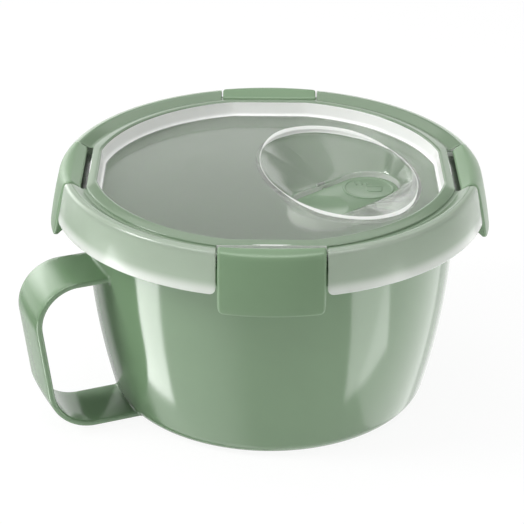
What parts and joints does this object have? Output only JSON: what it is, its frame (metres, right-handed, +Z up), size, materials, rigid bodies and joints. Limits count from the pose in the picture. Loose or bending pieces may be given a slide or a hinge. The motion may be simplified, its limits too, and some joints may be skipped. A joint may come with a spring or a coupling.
{
  "type": "soup mug",
  "caption": "Round soup mug with a strap handle, a clear lid held by hinged clips, and a rocking steam vent in a well in the lid.",
  "frame": {"origin": "middle of the flat base, on the surface that the mug stands on", "axes": "+Z up along the bowl's axis, +X towards the handle"},
  "size_m": [0.1807, 0.165, 0.0936],
  "materials": {
    "sage_plastic": "glossy moulded plastic, sage green",
    "clear_plastic": "clear moulded plastic, polished",
    "seal_rubber": "soft satin elastomer, sage green"
  },
  "bodies": {
    "mug": {"mug_body": "sage_plastic"},
    "lid": {"lid_shell": "clear_plastic", "lid_seal": "seal_rubber"},
    "clip_left": {"clip_left": "sage_plastic"},
    "clip_front": {"clip_front": "sage_plastic"},
    "clip_right": {"clip_right": "sage_plastic"},
    "clip_back": {"clip_back": "sage_plastic"},
    "vent": {"vent_rocker": "sage_plastic", "vent_seal": "seal_rubber"}
  },
  "joints": [
    {"name": "lid_lift", "type": "slide", "parent": "mug", "child": "lid", "axis": [0, 0, 1], "range_m": [0, 0.12]},
    {"name": "clip_left_hinge", "type": "hinge", "parent": "lid", "child": "clip_left", "pos_m": [0.06707, -0.02778, 0.0902], "axis": [-0.3827, -0.9239, 0], "range_deg": [0, 80]},
    {"name": "clip_front_hinge", "type": "hinge", "parent": "lid", "child": "clip_front", "pos_m": [0.02778, 0.06707, 0.0902], "axis": [0.9239, -0.3827, 0], "range_deg": [0, 80]},
    {"name": "clip_right_hinge", "type": "hinge", "parent": "lid", "child": "clip_right", "pos_m": [-0.06707, 0.02778, 0.0902], "axis": [0.3827, 0.9239, 0], "range_deg": [0, 80]},
    {"name": "clip_back_hinge", "type": "hinge", "parent": "lid", "child": "clip_back", "pos_m": [-0.02778, -0.06707, 0.0902], "axis": [-0.9239, 0.3827, 0], "range_deg": [0, 80]},
    {"name": "vent_pivot", "type": "hinge", "parent": "lid", "child": "vent", "pos_m": [-0.02834, 0.00777, 0.0765], "axis": [-0.3502, 0.9367, 0], "range_deg": [0, 5.5]}
  ]
}
